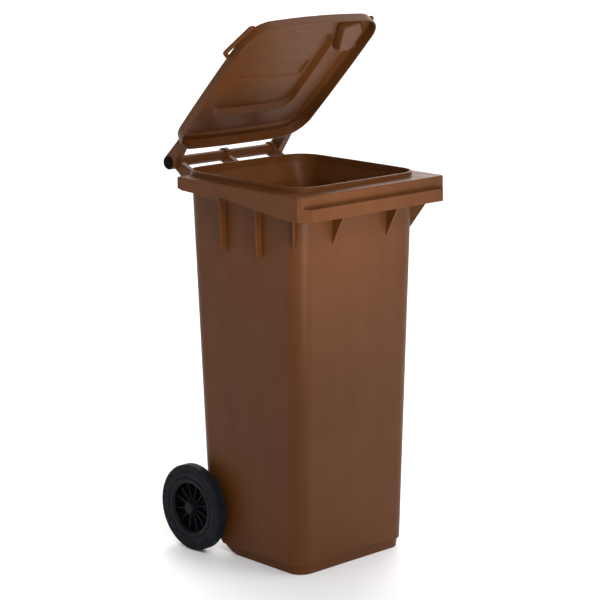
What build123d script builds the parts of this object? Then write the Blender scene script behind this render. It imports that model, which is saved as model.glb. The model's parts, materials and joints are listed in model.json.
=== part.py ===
from build123d import *
import os
from math import cos, radians, sin

# Two-wheeled wheelie bin of about 80 litres, lid standing part-way open.
# Millimetres. +Z up, the front of the bin faces -Y, origin on the floor under the centre of the foot.

# ---- driving dimensions -------------------------------------------------------------------
WALL = 3.5                     # moulded wall of the tub

# tub: a tapered box, given by its section at two heights
FOOT_HEIGHT = 21.0
FLARE_START = 818.0            # the tub wall flares out into the collar between these heights
FLARE_END = 857.0
FOOT_HALF_WIDTH = 163.2
FOOT_HALF_DEPTH = 103.6
FOOT_REACH = 70.0              # the foot runs on behind its flat sole, up to the slanting rear corner
LOW_SECTION = (170.4, -108.1, 207.8, 36.0)     # half width, front y, rear y, corner radius
HIGH_SECTION = (182.7, -123.0, 247.1, 38.0)

# rim: flange with a hanging skirt, and a collar round the opening
FLANGE_Z = 866.0
FLANGE_HALF_WIDTH = 225.0
FLANGE_FRONT = -166.5
FLANGE_REAR = 232.0
COLLAR_Z = 876.5
COLLAR_HALF_WIDTH = 189.4
COLLAR_FRONT = -128.5
COLLAR_REAR = 258.0
COLLAR_RADIUS = 60.0
COLLAR_BOW = 3.0
COLLAR_WALL = 5.0
SKIRT_WALL = 3.5
SKIRT_BOTTOM = 812.0
BAND_TOP = 840.0               # the lower front band stands out from the skirt
BAND_DEPTH = 15.0
FLANGE_CORNER = 8.0

# wheels and axle
WHEEL_RADIUS = 100.0
AXLE_Y = 209.0
AXLE_Z = WHEEL_RADIUS
AXLE_RADIUS = 10.0
AXLE_HALF_LENGTH = 214.0
HUB_INNER_X = 178.0
HUB_OUTER_X = 217.0
HUB_RADIUS = 15.0
TYRE_INNER_X = 188.0
TYRE_OUTER_X = 216.0
TYRE_BORE = 71.5
LOCK_X = 185.6                 # where the spring-loaded pin meets the axle groove
GROOVE_RADIUS = 8.3

# handle bar, which is also the hinge axis of the lid
HINGE_Y = 320.5
HINGE_Z = 882.2
BAR_RADIUS = 12.5
LUG_RADIUS = 17.0
LUG_INNER_X = 139.0
LUG_OUTER_X = 151.0
PIN_RADIUS = 8.0
PIN_CLEARANCE = 0.06

# lid, drawn closed and then swung open about the hinge
LID_WALL = 3.0
LID_REST_ANGLE = 46.0
LID_LIP_Z = 873.2
LID_TOP_Z = 896.5
LID_HALF_WIDTH = 199.5
LID_FRONT = -143.7
LID_REAR = 270.5
LID_RADIUS = 64.0
KNUCKLE_INNER_X = 152.0
KNUCKLE_OUTER_X = 170.5
KNUCKLE_RADIUS = 16.5

HINGE_AXIS = Axis((0, HINGE_Y, HINGE_Z), (1, 0, 0))
SIDES = {"left": -1, "right": 1}


# ---- outlines -----------------------------------------------------------------------------
def side_plane(x):
    """Plane across the bin at x, with local x along +Y and local y along +Z."""
    return Plane(origin=(x, 0, 0), x_dir=(0, 1, 0), z_dir=(1, 0, 0))


def tub_outline(z, inset=0.0):
    """Section of the tub at height z, moved inwards by inset."""
    t = (z - FOOT_HEIGHT) / (FLARE_START - FOOT_HEIGHT)
    half_width, front, rear, radius = (low + (high - low) * t for low, high in zip(LOW_SECTION, HIGH_SECTION))
    with BuildSketch(Plane.XY.offset(z)) as outline:
        with Locations((0, (front + rear) / 2)):
            RectangleRounded(2 * (half_width - inset), rear - front - 2 * inset, radius - inset)
    return outline.sketch


def foot_outline(z, inset=0.0):
    """Section of the foot at height z."""
    spread = 0.1 * z - inset
    with BuildSketch(Plane.XY.offset(z)) as outline:
        with Locations((0, FOOT_REACH / 2)):
            RectangleRounded(2 * (FOOT_HALF_WIDTH + spread), 2 * (FOOT_HALF_DEPTH + spread) + FOOT_REACH,
                             34 - inset)
    return outline.sketch


def bowed_outline(z, half_width, front, rear, radius, bows, taper=0.0):
    """Outline with bulging sides, front and rear; taper narrows each side towards the front."""
    side_bow, front_bow, rear_bow = bows
    w, f, r = half_width - side_bow, front + front_bow, rear - rear_bow
    middle = (front + rear) / 2
    with BuildSketch(Plane.XY.offset(z)) as outline:
        with BuildLine():
            ThreePointArc((taper - w, f), (0, front), (w - taper, f))
            ThreePointArc((w - taper, f), (half_width - taper / 2, middle), (w, r))
            ThreePointArc((w, r), (0, rear), (-w, r))
            ThreePointArc((-w, r), (taper / 2 - half_width, middle), (taper - w, f))
        make_face()
        fillet(outline.vertices(), radius)
    return outline.sketch


def collar_outline(z, inset=0.0):
    bows = (COLLAR_BOW, COLLAR_BOW, COLLAR_BOW)
    return bowed_outline(z, COLLAR_HALF_WIDTH + COLLAR_BOW - inset, COLLAR_FRONT - COLLAR_BOW + inset,
                         COLLAR_REAR + COLLAR_BOW - inset, COLLAR_RADIUS - inset, bows)


def flange_outline(z, inset=0.0):
    """Outline of the flange; its front corners are cut off by a small chamfer."""
    with BuildSketch(Plane.XY.offset(z)) as outline:
        with Locations((0, (FLANGE_FRONT + FLANGE_REAR) / 2)):
            Rectangle(2 * (FLANGE_HALF_WIDTH - inset), FLANGE_REAR - FLANGE_FRONT - 2 * inset)
        chamfer(outline.vertices().group_by(Axis.Y)[0], FLANGE_CORNER)
        fillet(outline.vertices().group_by(Axis.Y)[-1], FLANGE_CORNER)
    return outline.sketch


def band_outline(z, inset=0.0):
    """Section of the front band; its ends are bevelled back to the corners of the flange."""
    end = FLANGE_HALF_WIDTH - FLANGE_CORNER
    with BuildSketch(Plane.XY.offset(z)) as outline:
        with BuildLine():
            right = Polyline((0, FLANGE_FRONT - BAND_DEPTH), (end - BAND_DEPTH, FLANGE_FRONT - BAND_DEPTH),
                             (end, FLANGE_FRONT), (end, FLANGE_FRONT + SKIRT_WALL),
                             (0, FLANGE_FRONT + SKIRT_WALL))
            mirror(right, about=Plane.YZ)
        make_face()
        offset(amount=-inset, kind=Kind.INTERSECTION)
    return outline.sketch


def lid_outline(z, inset):
    return bowed_outline(z, LID_HALF_WIDTH - inset, LID_FRONT + inset, LID_REAR - inset,
                         LID_RADIUS - inset, (4.5, 10.7, 6.0))


def plateau_outline(z, inset):
    """Raised middle of the lid."""
    return bowed_outline(z, 127 - inset, -73 + inset, 191 - inset, 38 - inset, (1.5, 4.0, 4.0), taper=8)


def nameplate_outline(z, inset):
    """Low plain platform on the raised middle."""
    with BuildSketch(Plane.XY.offset(z)) as outline:
        with Locations((0, 58)):
            RectangleRounded(2 * (102 - inset), 2 * (27 - inset), 10 - inset)
    return outline.sketch


def pocket_outline(z, inset):
    """Pocket sunk into the top of the lid near one front corner."""
    with BuildSketch(Plane.XY.offset(z)) as outline:
        with BuildLine():
            Polyline(*POCKET_CORNERS, close=True)
        make_face()
        fillet(outline.vertices(), 11)
        offset(amount=-inset)
    return outline.sketch


def make_pocket_boss():
    """Solid that hangs below the lid around the pocket."""
    with BuildPart() as boss:
        extrude(pocket_outline(POCKET_FLOOR_Z, 0), amount=LID_TOP_Z - POCKET_FLOOR_Z, taper=-20)
        fillet(boss.faces().sort_by(Axis.Z)[0].edges(), 6)
    return boss.part


# ---- inside of the tub --------------------------------------------------------------------
# profile of the raised floor over the axle, in Y and Z
HUMP = [(103, -5), (103, 5), (147, 42), (166, 154), (212, 174), (270, 174), (270, -5)]

with BuildPart() as tub_cavity:
    loft([tub_outline(FOOT_HEIGHT, WALL), tub_outline(FLARE_START, WALL)])
    loft([foot_outline(5.0, WALL), foot_outline(FOOT_HEIGHT, WALL)])
    loft([tub_outline(FLARE_START, WALL), collar_outline(FLARE_END + 2, COLLAR_WALL)])
    extrude(collar_outline(FLARE_END + 2, COLLAR_WALL), amount=COLLAR_Z - FLARE_END - 1)
    with BuildSketch(side_plane(-250)):
        with BuildLine():
            Polyline(*HUMP, close=True)
        make_face()
    extrude(amount=500, mode=Mode.SUBTRACT)


# ---- rim: flange, hanging skirt and front band ----------------------------------------------
with BuildPart() as rim:
    extrude(flange_outline(FLANGE_Z), amount=SKIRT_BOTTOM - FLANGE_Z)
    fillet(rim.faces().sort_by(Axis.Z)[-1].edges(), 3)
    extrude(flange_outline(SKIRT_BOTTOM, SKIRT_WALL), amount=FLANGE_Z - 4 - SKIRT_BOTTOM, mode=Mode.SUBTRACT)
    with BuildSketch(side_plane(-250)):
        with BuildLine():
            Polyline((FLANGE_FRONT - 1, SKIRT_BOTTOM - 1), (FLANGE_FRONT + 1, SKIRT_BOTTOM))
            Spline((FLANGE_FRONT + 1, SKIRT_BOTTOM), (-106, 814), (-12, 826), (52, 834.5), (180, 836),
                   tangents=((1, 0), (1, 0)))
            Polyline((180, 836), (212, 837), (FLANGE_REAR + 1, 843), (FLANGE_REAR + 1, SKIRT_BOTTOM - 1),
                     (FLANGE_FRONT - 1, SKIRT_BOTTOM - 1))
        make_face()
    extrude(amount=500, mode=Mode.SUBTRACT)

    # lower front band, hollow and open downwards; a lifting comb engages behind it
    extrude(band_outline(SKIRT_BOTTOM), amount=BAND_TOP - SKIRT_BOTTOM)
    extrude(band_outline(SKIRT_BOTTOM, SKIRT_WALL), amount=BAND_TOP - 4 - SKIRT_BOTTOM, mode=Mode.SUBTRACT)
    with Locations((0, FLANGE_FRONT + SKIRT_WALL, SKIRT_BOTTOM)):
        Box(2 * (FLANGE_HALF_WIDTH - FLANGE_CORNER - 1.5 * SKIRT_WALL), 2.1 * SKIRT_WALL,
            BAND_TOP - 4 - SKIRT_BOTTOM, align=(Align.CENTER, Align.CENTER, Align.MIN), mode=Mode.SUBTRACT)


# ---- tub, with rim, gussets, handle bar and axle housings: one moulding ---------------------
with BuildPart() as body_shell:
    loft([tub_outline(FOOT_HEIGHT), tub_outline(FLARE_START)])
    loft([foot_outline(0), foot_outline(FOOT_HEIGHT)])
    loft([tub_outline(FLARE_START), collar_outline(FLARE_END)])
    extrude(collar_outline(FLARE_END), amount=COLLAR_Z - FLARE_END)
    fillet(body_shell.faces().sort_by(Axis.Z)[-1].edges(), 1.8)
    add(rim.part)

    # gussets between the front wall and the skirt, and diagonal ones from the front corners
    for side in SIDES.values():
        with BuildSketch(side_plane(side * 84)):
            with BuildLine():
                Polyline((-118, 741), (-122, 741), (FLANGE_FRONT + 2, 824), (FLANGE_FRONT + 2, 863),
                         (-118, 863), close=True)
            make_face()
        extrude(amount=2, both=True)
        corner = Plane(origin=(side * 178.5, -98.6, 0), x_dir=(side, -1.05, 0), z_dir=(-1.05, -side, 0))
        with BuildSketch(corner):
            with BuildLine():
                Polyline((-6, 740), (0, 740), (62, 835), (62, 863), (-6, 863), close=True)
            make_face()
        extrude(amount=2, both=True)

    # upright ribs under the side flanges
    for side in SIDES.values():
        for y in (2, 117):
            with BuildSketch(Plane(origin=(0, y, 0), x_dir=(side, 0, 0), z_dir=(0, -side, 0))):
                with BuildLine():
                    Polyline((178, 704), (190, 712), (196, 722), (197, 812), (203, 828), (220, 846),
                             (220, 863), (178, 863), close=True)
                make_face()
            extrude(amount=2, both=True)

    # rear corner below the axle is cut away, and closed by an open-backed axle pocket
    with BuildSketch(side_plane(-250)):
        with BuildLine():
            ThreePointArc((FOOT_HALF_DEPTH, 0), (136, 13), (158, 40))
            Polyline((158, 40), (192, 81), (209, 76), (270, 76), (270, -1), (FOOT_HALF_DEPTH, -1),
                     (FOOT_HALF_DEPTH, 0))
        make_face()
    extrude(amount=500, mode=Mode.SUBTRACT)
    with BuildSketch(side_plane(-158)):
        with BuildLine():
            Polyline((151, 20), (170, 150), (216, 170), (270, 170), (270, 20), close=True)
        make_face()
    extrude(amount=316, mode=Mode.SUBTRACT)
    for side in SIDES.values():
        with BuildSketch(side_plane(side * 150)):
            with Locations((AXLE_Y, AXLE_Z)):
                Circle(24)
        extrude(amount=side * (HUB_INNER_X - 150.5))
    for x in (-110, -38, 38, 110):
        with BuildSketch(side_plane(x)):
            with BuildLine():
                Polyline((156, 56), (168, 150), (214, 168), (214, 100), (190, 80), close=True)
            make_face()
            with Locations((AXLE_Y, AXLE_Z)):
                Circle(18)
        extrude(amount=2, both=True)
    with BuildSketch(side_plane(-HUB_INNER_X)):
        with Locations((AXLE_Y, AXLE_Z)):
            Circle(AXLE_RADIUS + 0.05)
    extrude(amount=2 * HUB_INNER_X, mode=Mode.SUBTRACT)

    # handle bar and the three lugs that carry it
    with BuildSketch(side_plane(-LUG_OUTER_X)):
        with Locations((HINGE_Y, HINGE_Z)):
            Circle(BAR_RADIUS)
    extrude(amount=2 * LUG_OUTER_X)
    lug_middle = (LUG_INNER_X + LUG_OUTER_X) / 2
    for x in (-lug_middle, 0, lug_middle):
        with BuildSketch(side_plane(x)) as lug:
            with BuildLine():
                Polyline((236, 866), (264, 867), (304, 883), (HINGE_Y, HINGE_Z), (334, 873), (309, 858),
                         (288, 838), (262, 820), (236, 812), close=True)
            make_face()
            fillet(lug.vertices().sort_by_distance((264, 867))[0], 24)
            with Locations((HINGE_Y, HINGE_Z)):
                Circle(LUG_RADIUS)
        extrude(amount=(LUG_OUTER_X - LUG_INNER_X) / 2, both=True)
    for side in SIDES.values():
        with BuildSketch(side_plane(side * LUG_OUTER_X)):
            with Locations((HINGE_Y, HINGE_Z)):
                Circle(PIN_RADIUS + 0.7)
        extrude(amount=-side * 32, mode=Mode.SUBTRACT)
        with BuildSketch(side_plane(side * LUG_OUTER_X)):
            with Locations((HINGE_Y, HINGE_Z)):
                Circle(PIN_RADIUS + 0.7)
                Circle(PIN_RADIUS + 0.05, mode=Mode.SUBTRACT)
        extrude(amount=-side * (LUG_OUTER_X - LUG_INNER_X))

    add(tub_cavity.part, mode=Mode.SUBTRACT)

body_shell.part.label = "body_shell"


# ---- axle ---------------------------------------------------------------------------------
with BuildPart() as axle:
    with BuildSketch(side_plane(-AXLE_HALF_LENGTH)):
        with Locations((AXLE_Y, AXLE_Z)):
            Circle(AXLE_RADIUS)
    extrude(amount=2 * AXLE_HALF_LENGTH)
    chamfer(axle.edges().filter_by(GeomType.CIRCLE), 1.5)
    for side in SIDES.values():
        with BuildSketch(side_plane(side * LOCK_X)):
            with Locations((AXLE_Y, AXLE_Z)):
                Circle(AXLE_RADIUS + 1)
                Circle(GROOVE_RADIUS, mode=Mode.SUBTRACT)
        extrude(amount=3.5, both=True, mode=Mode.SUBTRACT)
axle.part.label = "axle"


# ---- lid hinge pins -----------------------------------------------------------------------
def make_hinge_pin(side):
    """Push-in pin with a flat round head; its barbs snap into the hollow end of the bar."""
    lengths_and_radii = ((KNUCKLE_OUTER_X + 0.1, KNUCKLE_OUTER_X + 3.4, 14.8),
                         (LUG_INNER_X - 14, KNUCKLE_OUTER_X + 0.1, PIN_RADIUS),
                         (LUG_INNER_X - 5, LUG_INNER_X - 0.3, PIN_RADIUS + 0.5))
    with BuildPart() as pin:
        for start, end, radius in lengths_and_radii:
            with BuildSketch(side_plane(side * start)):
                with Locations((HINGE_Y, HINGE_Z)):
                    Circle(radius)
            extrude(amount=side * (end - start))
        head_faces = pin.faces().filter_by(Axis.X).sort_by(Axis.X)
        fillet(head_faces[-1 if side > 0 else 0].edges(), 1.4)
        chamfer(head_faces[0 if side > 0 else -1].edges(), 1.5)
    return pin


# ---- lid ----------------------------------------------------------------------------------
PANEL_STEP = 5.0               # the panel inside the border stands a little higher
PLATEAU_STEP = 12.0
NAMEPLATE_STEP = 3.5
LID_EDGE_RADIUS = 2.0
BAIL_RADIUS = 5.0
BAIL_Z = 895.5
POCKET_CORNERS = ((133, -22), (170, -24), (165, -88), (134, -119), (94, -103))
POCKET_FLOOR_Z = 881.0


def lid_levels(drop, inset):
    """Steps of the lid from lip to top, moved down by drop and inwards by inset."""
    border = LID_TOP_Z - drop
    panel = border + PANEL_STEP
    plateau = panel + PLATEAU_STEP
    return ((lid_outline(LID_LIP_Z, inset), lid_outline(border, 3 + inset)),
            (lid_outline(border, 20 + inset / 2), lid_outline(panel, 25 + inset / 2)),
            (plateau_outline(panel, inset / 2), plateau_outline(plateau, 11 + inset / 2)),
            (nameplate_outline(plateau, inset / 2), nameplate_outline(plateau + NAMEPLATE_STEP, 3 + inset / 2)))


with BuildPart() as lid_inside:
    for lower, upper in lid_levels(LID_WALL, LID_WALL):
        loft([lower, upper], ruled=True)
        fillet(lid_inside.faces().sort_by(Axis.Z)[-1].edges(), LID_EDGE_RADIUS)

with BuildPart() as lid_closed:
    for lower, upper in lid_levels(0, 0):
        loft([lower, upper], ruled=True)
        fillet(lid_closed.faces().sort_by(Axis.Z)[-1].edges(), LID_EDGE_RADIUS)

    # arms and knuckles
    for side in SIDES.values():
        with BuildSketch(side_plane(side * KNUCKLE_INNER_X)):
            with BuildLine():
                Polyline((HINGE_Y, HINGE_Z + KNUCKLE_RADIUS), (264, LID_TOP_Z), (243, LID_TOP_Z),
                         (243, LID_TOP_Z - 4), (260, LID_LIP_Z + 2), (HINGE_Y, HINGE_Z - KNUCKLE_RADIUS),
                         close=True)
            make_face()
            with Locations((HINGE_Y, HINGE_Z)):
                Circle(KNUCKLE_RADIUS)
        extrude(amount=side * (KNUCKLE_OUTER_X - KNUCKLE_INNER_X))
    with BuildSketch(side_plane(-KNUCKLE_OUTER_X - 1)):
        with Locations((HINGE_Y, HINGE_Z)):
            Circle(PIN_RADIUS + PIN_CLEARANCE)
    extrude(amount=2 * KNUCKLE_OUTER_X + 2, mode=Mode.SUBTRACT)

    # hollow underside, and the pocket
    add(lid_inside.part, mode=Mode.SUBTRACT)
    add(make_pocket_boss())
    extrude(pocket_outline(POCKET_FLOOR_Z + LID_WALL, LID_WALL), amount=60, mode=Mode.SUBTRACT)

    # bail handles on the sides near the front
    for side in SIDES.values():
        with BuildLine() as bail:
            FilletPolyline((side * 186, -19, BAIL_Z), (side * 212, -39, BAIL_Z), (side * 184, -119, BAIL_Z),
                           (side * 162, -110, BAIL_Z), radius=6)
        with BuildSketch(Plane(origin=bail.line @ 0, z_dir=bail.line % 0)):
            Circle(BAIL_RADIUS)
        sweep(path=bail.line)

with BuildPart() as lid:
    add(lid_closed.part.rotate(HINGE_AXIS, -LID_REST_ANGLE))
lid.part.label = "lid"


# ---- wheels -------------------------------------------------------------------------------
def axle_profile_plane(side, turn=0.0):
    """Plane through the axle line: local x outwards along the axle, local y the radius."""
    a = radians(turn)
    radial = Vector(0, -sin(a), cos(a))
    outward = Vector(side, 0, 0)
    return Plane(origin=(0, AXLE_Y, AXLE_Z), x_dir=outward, z_dir=outward.cross(radial))


AXLE_LINE = Axis((0, AXLE_Y, AXLE_Z), (1, 0, 0))


def radial_stack(x, levels):
    """Cylinders standing on the axle line at x: each level is (start radius, end radius, size)."""
    for start, end, size in levels:
        with BuildSketch(Plane.XY.offset(AXLE_Z + start)) as disc:
            with Locations((x, AXLE_Y)):
                Circle(size)
        yield disc.sketch, end - start


def make_rim(side):
    """Spoked plastic rim with a long hub, and a radial housing for the lock pin."""
    back = [(210.5, 57), (208, 65), (194, 66), (197.5, HUB_RADIUS + 3), (HUB_OUTER_X, HUB_RADIUS - 1),
            (HUB_OUTER_X + 1.5, HUB_RADIUS - 2.5), (HUB_INNER_X, HUB_RADIUS - 2.5),
            (HUB_INNER_X, HUB_RADIUS + 3), (193, HUB_RADIUS + 3), (190, 66), (188.5, 66),
            (188.5, TYRE_BORE), (213.2, TYRE_BORE)]
    with BuildPart() as rim:
        with BuildSketch(axle_profile_plane(side)):
            with BuildLine():
                Polyline(*back)
                ThreePointArc((213.2, TYRE_BORE), (215.4, 64), (210.5, 57))
            make_face()
        revolve(axis=AXLE_LINE)
        with BuildSketch(side_plane(side * HUB_INNER_X)):
            with Locations((AXLE_Y, AXLE_Z)):
                Circle(HUB_RADIUS - 2)
        extrude(amount=side * (HUB_OUTER_X + 1.5 - HUB_INNER_X))
        for spoke in range(12):
            with BuildSketch(axle_profile_plane(side, 15 + 30 * spoke)):
                with BuildLine():
                    Polyline((193, 13.5), (209, 13.5), (206, 30), (207, 64), (193, 64), close=True)
                make_face()
            extrude(amount=1.1, both=True)
        for sketch, height in radial_stack(side * LOCK_X, [(12, 34, 6.8)]):
            extrude(sketch, amount=height)
        for sketch, height in radial_stack(side * LOCK_X, [(5, 20, 2.8), (14, 35, 4.4)]):
            extrude(sketch, amount=height, mode=Mode.SUBTRACT)
        for start, end, radius in ((HUB_INNER_X - 1, 214.5, AXLE_RADIUS + 0.05), (214.5, 220, 11.4)):
            with BuildSketch(side_plane(side * start)):
                with Locations((AXLE_Y, AXLE_Z)):
                    Circle(radius)
            extrude(amount=side * (end - start), mode=Mode.SUBTRACT)
    return rim


def make_tyre(side):
    """Solid tyre with a crowned outside wall, a fine ring and four tread grooves."""
    with BuildPart() as tyre:
        with BuildSketch(axle_profile_plane(side)) as section:
            with BuildLine():
                Polyline((TYRE_INNER_X, TYRE_BORE), (TYRE_INNER_X, 96), (192, WHEEL_RADIUS),
                         (212, WHEEL_RADIUS), (TYRE_OUTER_X, 96), (TYRE_OUTER_X, 78),
                         (214.5, TYRE_BORE), close=True)
            make_face()
            fillet(section.vertices().group_by(Axis.Y)[-1], 1.5)
            fillet(section.vertices().sort_by_distance((TYRE_OUTER_X, 96))[0], 2)
            fillet(section.vertices().sort_by_distance((TYRE_OUTER_X, 78))[0], 5)
            with Locations((TYRE_OUTER_X, 87)):
                Rectangle(1.8, 1.4, mode=Mode.SUBTRACT)
            with Locations(*[(196.5 + 4.7 * i, WHEEL_RADIUS) for i in range(4)]):
                Rectangle(1.5, 2.4, mode=Mode.SUBTRACT)
        revolve(axis=AXLE_LINE)
    return tyre


def make_hub_cap(side):
    """Push-in plastic cap that closes the outer end of the hub."""
    with BuildPart() as cap:
        with BuildSketch(side_plane(side * 215)):
            with Locations((AXLE_Y, AXLE_Z)):
                Circle(11.4)
        extrude(amount=side * 4)
        fillet(cap.faces().sort_by(Axis.X)[-1 if side > 0 else 0].edges(), 1.5)
    return cap


def make_lock_pin(side):
    """Radial pin whose tip runs in the axle groove; pulling its knob frees the wheel."""
    with BuildPart() as pin:
        for sketch, height in radial_stack(side * LOCK_X, [(8.6, 15, 2.5), (15, 17, 4.1), (17, 41, 1.9),
                                                           (40, 44, 4)]):
            extrude(sketch, amount=height)
        fillet(pin.faces().sort_by(Axis.Z)[-1].edges(), 1)
        chamfer(pin.faces().sort_by(Axis.Z)[0].edges(), 0.6)
    return pin


def make_lock_spring(side):
    """Compression spring between the pin's collar and the retainer."""
    wire = 0.45
    with BuildPart() as spring:
        with BuildLine(Plane.XY.offset(AXLE_Z + 17.8)) as coil:
            Helix(pitch=2.2, height=11.0, radius=3.2, center=(side * LOCK_X, AXLE_Y))
        with BuildSketch(Plane(origin=coil.line @ 0, z_dir=coil.line % 0)):
            Circle(wire)
        sweep(path=coil.line, is_frenet=True)
    return spring


def make_lock_retainer(side):
    """Ring pressed into the mouth of the pin housing."""
    with BuildPart() as retainer:
        for sketch, height in radial_stack(side * LOCK_X, [(29.6, 34, 4.4), (34, 36, 5.6)]):
            extrude(sketch, amount=height)
        for sketch, height in radial_stack(side * LOCK_X, [(29, 37, 2.1)]):
            extrude(sketch, amount=height, mode=Mode.SUBTRACT)
    return retainer


MAKERS = {
    "hinge_pin": make_hinge_pin,
    "wheel_rim": make_rim,
    "wheel_tyre": make_tyre,
    "hub_cap": make_hub_cap,
    "lock_pin": make_lock_pin,
    "lock_spring": make_lock_spring,
    "lock_retainer": make_lock_retainer,
}

# ---- write every piece --------------------------------------------------------------------
os.makedirs("parts", exist_ok=True)
export_step(body_shell.part, "parts/body_shell.step")
export_step(axle.part, "parts/axle.step")
export_step(lid.part, "parts/lid.step")
for piece, make in MAKERS.items():
    for side_name, side in SIDES.items():
        made = make(side)
        made.part.label = f"{piece}_{side_name}"
        export_step(made.part, f"parts/{made.part.label}.step")
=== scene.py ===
import json
import math

import bpy
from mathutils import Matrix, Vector

# Two-wheeled wheelie bin with its lid part-way open. Metres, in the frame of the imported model.
# Every visible piece is a CAD solid; this script gives them their materials, light and camera.
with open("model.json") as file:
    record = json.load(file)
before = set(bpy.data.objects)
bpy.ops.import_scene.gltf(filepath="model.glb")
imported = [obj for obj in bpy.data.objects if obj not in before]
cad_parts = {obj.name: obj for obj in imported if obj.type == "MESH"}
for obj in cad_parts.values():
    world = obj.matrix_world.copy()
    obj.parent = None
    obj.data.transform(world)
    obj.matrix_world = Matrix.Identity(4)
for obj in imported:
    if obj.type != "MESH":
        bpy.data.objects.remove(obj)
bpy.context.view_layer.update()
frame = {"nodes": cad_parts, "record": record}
NODES = frame["nodes"]


# ---- material nodes -----------------------------------------------------------------------
class Shader:
    """Short hand for building one material's node tree."""

    def __init__(self, name, roughness, specular=0.5, metallic=0.0):
        self.material = bpy.data.materials.new(name)
        self.material.use_nodes = True
        self.tree = self.material.node_tree
        self.bsdf = self.tree.nodes["Principled BSDF"]
        self.bsdf.inputs["Roughness"].default_value = roughness
        self.bsdf.inputs["Specular IOR Level"].default_value = specular
        self.bsdf.inputs["Metallic"].default_value = metallic
        self.coords = self.add("ShaderNodeTexCoord").outputs["Object"]

    def add(self, kind, **settings):
        node = self.tree.nodes.new(kind)
        for key, value in settings.items():
            setattr(node, key, value)
        return node

    def link(self, source, target):
        self.tree.links.new(source, target)

    def scaled(self, stretch):
        mapping = self.add("ShaderNodeMapping")
        mapping.inputs["Scale"].default_value = stretch
        self.link(self.coords, mapping.inputs["Vector"])
        return mapping.outputs["Vector"]

    def noise(self, scale, detail=3.0, rough=0.5, stretch=(1, 1, 1)):
        node = self.add("ShaderNodeTexNoise")
        node.inputs["Scale"].default_value = scale
        node.inputs["Detail"].default_value = detail
        node.inputs["Roughness"].default_value = rough
        self.link(self.scaled(stretch), node.inputs["Vector"])
        return node.outputs["Fac"]

    def cells(self, scale, stretch=(1, 1, 1)):
        node = self.add("ShaderNodeTexVoronoi", feature="DISTANCE_TO_EDGE")
        node.inputs["Scale"].default_value = scale
        self.link(self.scaled(stretch), node.inputs["Vector"])
        return node.outputs["Distance"]

    def span(self, value, low, high, out_low, out_high):
        node = self.add("ShaderNodeMapRange")
        self.link(value, node.inputs["Value"])
        limits = {"From Min": low, "From Max": high, "To Min": out_low, "To Max": out_high}
        for key, number in limits.items():
            node.inputs[key].default_value = number
        return node.outputs["Result"]

    def maths(self, operation, a, b):
        node = self.add("ShaderNodeMath", operation=operation)
        for socket, value in zip(node.inputs, (a, b)):
            if isinstance(value, (int, float)):
                socket.default_value = value
            else:
                self.link(value, socket)
        return node.outputs["Value"]

    def mix(self, factor, a, b):
        node = self.add("ShaderNodeMix", data_type="RGBA")
        for key, value in (("Factor", factor), ("A", a), ("B", b)):
            socket = node.inputs[key]
            if isinstance(value, (int, float)):
                socket.default_value = value
            elif isinstance(value, tuple):
                socket.default_value = (*value, 1)
            else:
                self.link(value, socket)
        return node.outputs["Result"]

    def rounded(self, radius):
        """Normal with the sharp edges softened, and a mask that is 1 along those edges."""
        bevel = self.add("ShaderNodeBevel", samples=6)
        bevel.inputs["Radius"].default_value = radius
        dot = self.add("ShaderNodeVectorMath", operation="DOT_PRODUCT")
        self.link(bevel.outputs["Normal"], dot.inputs[0])
        self.link(self.add("ShaderNodeNewGeometry").outputs["Normal"], dot.inputs[1])
        return bevel.outputs["Normal"], self.span(dot.outputs["Value"], 0.995, 0.90, 0.0, 1.0)

    def bump(self, height, strength, distance, normal=None):
        node = self.add("ShaderNodeBump")
        node.inputs["Strength"].default_value = strength
        node.inputs["Distance"].default_value = distance
        self.link(height, node.inputs["Height"])
        if normal is not None:
            self.link(normal, node.inputs["Normal"])
        return node.outputs["Normal"]

    def done(self, colour, roughness, normal):
        self.link(colour, self.bsdf.inputs["Base Color"])
        self.link(roughness, self.bsdf.inputs["Roughness"])
        self.link(normal, self.bsdf.inputs["Normal"])
        return self.material


def moulded(name, base, light, dark, roughness, soft_edge=0.0022, grain=1500, specular=0.14):
    """Moulded polyethylene: fine eroded grain, faint flow marks, scuffed edges."""
    s = Shader(name, roughness, specular)
    patches = s.span(s.noise(5.0, 4), 0.35, 0.65, 0.0, 1.0)
    flow = s.span(s.noise(22.0, 5, 0.6, (1.0, 1.0, 0.25)), 0.3, 0.7, 0.0, 1.0)
    grain_height = s.noise(grain, 2, 0.6)
    colour = s.mix(s.maths("MULTIPLY", patches, 0.35), base, dark)
    colour = s.mix(s.maths("MULTIPLY", flow, 0.16), colour, light)
    colour = s.mix(s.span(grain_height, 0.35, 0.75, 0.0, 0.22), colour, dark)
    normal, edge = s.rounded(soft_edge)
    broken = s.span(s.noise(140.0, 4, 0.65), 0.40, 0.66, 0.0, 1.0)
    colour = s.mix(s.maths("MULTIPLY", s.maths("MULTIPLY", edge, broken), 0.35), colour, light)
    scratch = s.span(s.cells(26.0, (1.0, 0.35, 1.6)), 0.0, 0.006, 1.0, 0.0)
    scratch = s.maths("MULTIPLY", scratch, s.span(s.noise(9.0, 2), 0.62, 0.72, 0.0, 0.35))
    colour = s.mix(scratch, colour, light)
    finish = s.span(s.noise(48.0, 4, 0.6), 0.3, 0.7, roughness - 0.05, roughness + 0.07)
    finish = s.maths("SUBTRACT", finish, s.maths("MULTIPLY", edge, 0.06))
    normal = s.bump(s.noise(7.0, 2), 0.10, 0.004, normal)
    normal = s.bump(grain_height, 0.30, 0.00022, normal)
    return s.done(colour, finish, normal)


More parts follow.
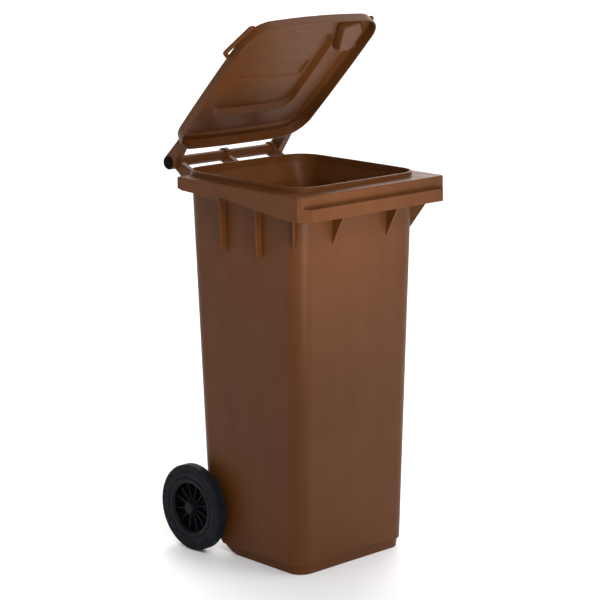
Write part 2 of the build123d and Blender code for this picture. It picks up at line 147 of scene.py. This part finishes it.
def rubber(name, base, light):
    """Solid tyre rubber with a dusty bloom in patches; its edges are lightened, partly dust and partly
    a painted highlight.
    """
    s = Shader(name, 0.62, 0.07)
    bloom = s.span(s.noise(34.0, 5, 0.65), 0.38, 0.68, 0.0, 0.55)
    fine = s.noise(1100.0, 2, 0.6)
    normal, edge = s.rounded(0.0012)
    colour = s.mix(bloom, base, light)
    # painted highlight: every edge lightened halfway to the light tone, partly also dust on the raised
    # edges
    colour = s.mix(s.maths("MULTIPLY", edge, 0.5), colour, light)
    finish = s.span(s.noise(70.0, 4), 0.3, 0.7, 0.50, 0.72)
    return s.done(colour, finish, s.bump(fine, 0.35, 0.0003, normal))


def plated(name, base, dull):
    """Zinc-plated steel, drawn along the axle, with dull spots."""
    s = Shader(name, 0.34, 0.5, 1.0)
    drawn = s.noise(900.0, 3, 0.6, (0.06, 1.0, 1.0))
    spots = s.span(s.noise(160.0, 5, 0.7), 0.52, 0.72, 0.0, 0.8)
    normal, edge = s.rounded(0.0006)
    colour = s.mix(spots, base, dull)
    finish = s.maths("ADD", s.span(drawn, 0.3, 0.7, 0.26, 0.42), s.maths("MULTIPLY", spots, 0.15))
    return s.done(colour, s.maths("SUBTRACT", finish, s.maths("MULTIPLY", edge, 0.05)),
                  s.bump(drawn, 0.25, 0.0001, normal))


# linear colours: base, light for worn and scuffed places, dark for hollows
BROWN = ((0.083, 0.0255, 0.0045), (0.140, 0.058, 0.020), (0.068, 0.019, 0.0030))
PIN_BLACK = ((0.0012, 0.0012, 0.0014), (0.006, 0.006, 0.007), (0.001, 0.001, 0.001))
RIM_BLACK = ((0.0045, 0.005, 0.007), (0.016, 0.018, 0.024), (0.002, 0.002, 0.003))
CAP_BLACK = ((0.006, 0.007, 0.009), (0.020, 0.023, 0.029), (0.003, 0.003, 0.004))
SMALL_EDGE, FINE_EDGE = 0.0010, 0.0009      # edge softening of the small mouldings
MATERIALS = {
    "bin_plastic": moulded("bin_plastic", *BROWN, 0.44),
    "lid_plastic": moulded("lid_plastic", *BROWN, 0.40),
    "pin_plastic": moulded("pin_plastic", *PIN_BLACK, 0.42, soft_edge=SMALL_EDGE, specular=0.03),
    "rim_plastic": moulded("rim_plastic", *RIM_BLACK, 0.34, soft_edge=FINE_EDGE, specular=0.07),
    "cap_plastic": moulded("cap_plastic", *CAP_BLACK, 0.36, soft_edge=FINE_EDGE, specular=0.08),
    "tyre_rubber": rubber("tyre_rubber", (0.0055, 0.006, 0.0085), (0.016, 0.0175, 0.0225)),
    "axle_steel": plated("axle_steel", (0.56, 0.57, 0.58), (0.32, 0.33, 0.34)),
    "lock_steel": plated("lock_steel", (0.52, 0.53, 0.54), (0.3, 0.3, 0.31)),
}
SLOTS = {part["node"]: part["material_slot"] for part in frame["record"]["subparts"]}


def dress(obj, slot):
    """Gives every material slot of an object one procedural material."""
    if not obj.data.materials:
        obj.data.materials.append(None)
    for place in obj.material_slots:
        place.link = "OBJECT"
        place.material = MATERIALS[slot]


for node, obj in NODES.items():
    dress(obj, SLOTS[node])


# ---- floor, light and camera --------------------------------------------------------------
FLOOR_HALF = 30.0
FLOOR_WHITE, FLOOR_DULL = 0.90, 0.873
SKY, BACK_GLOW = 0.50, 2.2          # strength of the world, and what is added low down behind the bin


def floor_material():
    """Plain white sheet with very faint cloudy patches."""
    s = Shader("floor_white", 0.6, 0.3)
    speckle = s.span(s.noise(3.0, 3), 0.3, 0.7, 0.0, 0.3)
    s.link(s.mix(speckle, (FLOOR_WHITE,) * 3, (FLOOR_DULL,) * 3), s.bsdf.inputs["Base Color"])
    return s.material


floor_mesh = bpy.data.meshes.new("floor")
floor_mesh.from_pydata([(-FLOOR_HALF, -FLOOR_HALF, 0), (FLOOR_HALF, -FLOOR_HALF, 0),
                        (FLOOR_HALF, FLOOR_HALF, 0), (-FLOOR_HALF, FLOOR_HALF, 0)], [], [(0, 1, 2, 3)])
floor = bpy.data.objects.new("floor", floor_mesh)
floor_mesh.materials.append(floor_material())
bpy.context.collection.objects.link(floor)


def make_world():
    """Soft white studio: even light from all round, brighter low down behind the bin."""
    world = bpy.data.worlds.new("studio")
    world.use_nodes = True
    tree = world.node_tree
    sky = tree.nodes["Background"]
    sky.inputs["Color"].default_value = (1.0, 0.975, 0.95, 1)
    coords = tree.nodes.new("ShaderNodeTexCoord")
    towards = tree.nodes.new("ShaderNodeVectorMath")
    towards.operation = "DOT_PRODUCT"
    towards.inputs[1].default_value = (0.69, 0.69, 0.22)
    glow = tree.nodes.new("ShaderNodeMapRange")
    limits = {"From Min": 0.55, "From Max": 1.0, "To Min": SKY, "To Max": SKY + BACK_GLOW}
    for key, number in limits.items():
        glow.inputs[key].default_value = number
    tree.links.new(coords.outputs["Generated"], towards.inputs[0])
    tree.links.new(towards.outputs["Value"], glow.inputs["Value"])
    tree.links.new(glow.outputs["Result"], sky.inputs["Strength"])
    bpy.context.scene.world = world


def sun(name, azimuth, elevation, strength, spread, colour):
    """Soft sun from an azimuth: 0 is in front of the bin, 90 on its left."""
    light = bpy.data.lights.new(name, "SUN")
    light.energy, light.angle, light.color = strength, math.radians(spread), colour
    lamp = bpy.data.objects.new(name, light)
    a, e = math.radians(azimuth), math.radians(elevation)
    towards = Vector((-math.sin(a) * math.cos(e), -math.cos(a) * math.cos(e), math.sin(e)))
    lamp.rotation_euler = towards.to_track_quat("Z", "Y").to_euler()
    bpy.context.collection.objects.link(lamp)


def softbox(name, place, target, size, watts, spread):
    """Gridded square softbox, hidden from the camera; spread is its opening angle in degrees."""
    light = bpy.data.lights.new(name, "AREA")
    light.size, light.energy, light.spread = size, watts, math.radians(spread)
    lamp = bpy.data.objects.new(name, light)
    lamp.location = place
    lamp.rotation_euler = (Vector(place) - Vector(target)).to_track_quat("Z", "Y").to_euler()
    lamp.visible_camera = False
    bpy.context.collection.objects.link(lamp)


make_world()
sun("key", 26, 42, 1.4, 20, (0.97, 1.0, 1.04))
sun("back", 215, 55, 1.3, 40, (1.0, 1.0, 1.0))
softbox("floor_pool", (2.0, -2.6, 1.8), (1.9, -2.2, 0.0), 3.0, 60, 110)
softbox("lid_fill", (-0.5, -1.6, 0.25), (0.0, 0.12, 1.05), 0.5, 0.95, 28)
softbox("mouth_fill", (-0.8, -2.6, 1.45), (0.0, 0.15, 0.87), 0.4, 0.45, 16)

# placed so that the rendered edges lie on those of the reference view
CAMERA_PLACE = (-3.3320, -3.4180, 1.6297)
CAMERA_DIP, CAMERA_TURN = 12.31, -43.72      # degrees below the horizon, and about Z
CAMERA_LENS = 130.41
camera_data = bpy.data.cameras.new("camera")
camera_data.lens = CAMERA_LENS
camera_data.sensor_width = 36.0
camera_data.clip_end = 100.0
camera = bpy.data.objects.new("camera", camera_data)
camera.location = CAMERA_PLACE
camera.rotation_euler = (math.radians(90 - CAMERA_DIP), 0, math.radians(CAMERA_TURN))
bpy.context.collection.objects.link(camera)
bpy.context.scene.camera = camera
bpy.context.scene.view_settings.view_transform = "Standard"
